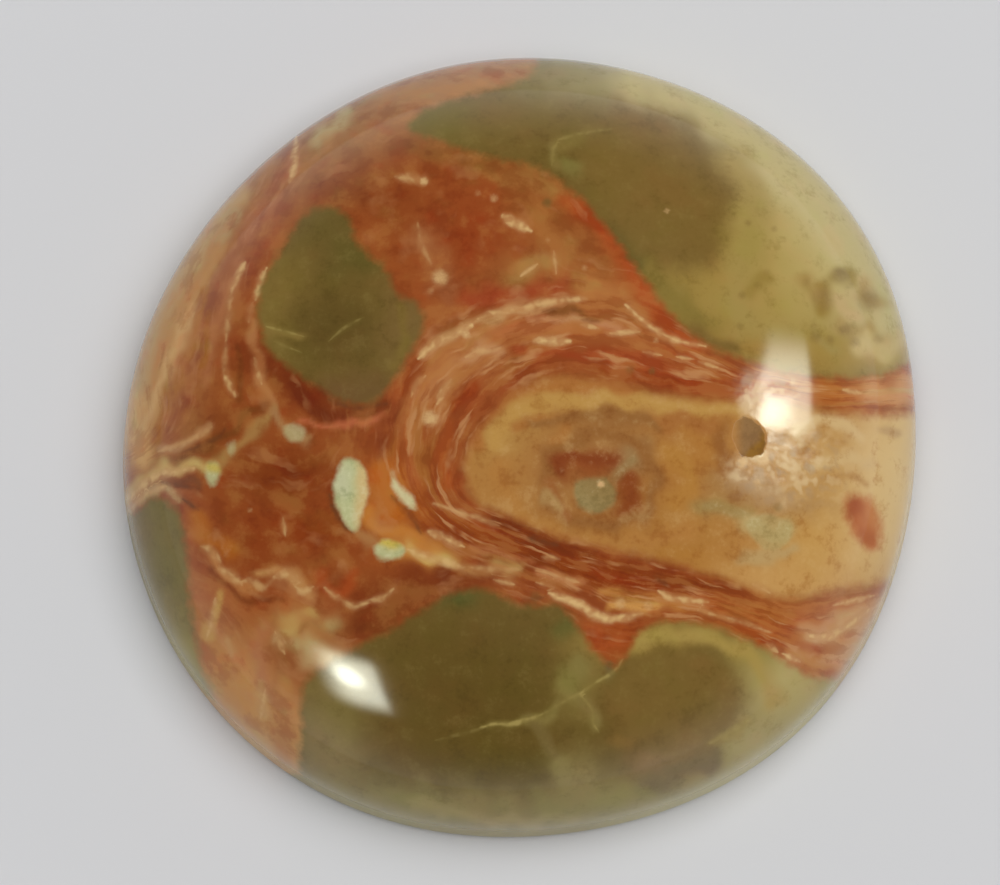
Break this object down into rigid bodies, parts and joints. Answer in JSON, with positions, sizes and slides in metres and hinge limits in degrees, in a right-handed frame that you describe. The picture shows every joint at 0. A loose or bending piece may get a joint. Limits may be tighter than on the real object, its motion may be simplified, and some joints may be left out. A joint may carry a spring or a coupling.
{
  "type": "mookaite cabochon",
  "caption": "Round polished cabochon of brecciated mookaite jasper, with a smooth dome, a short leaning wall and a flat bevelled back.",
  "frame": {"origin": "middle of the flat back, the face that the stone rests on", "axes": "+Z out of the back through the top of the dome, +X to the right and +Y away from the viewer as the picture shows the stone"},
  "size_m": [0.03, 0.0298, 0.008],
  "materials": {
    "polished_jasper": "polished"
  },
  "bodies": {
    "root": {"stone": "polished_jasper"}
  },
  "joints": []
}
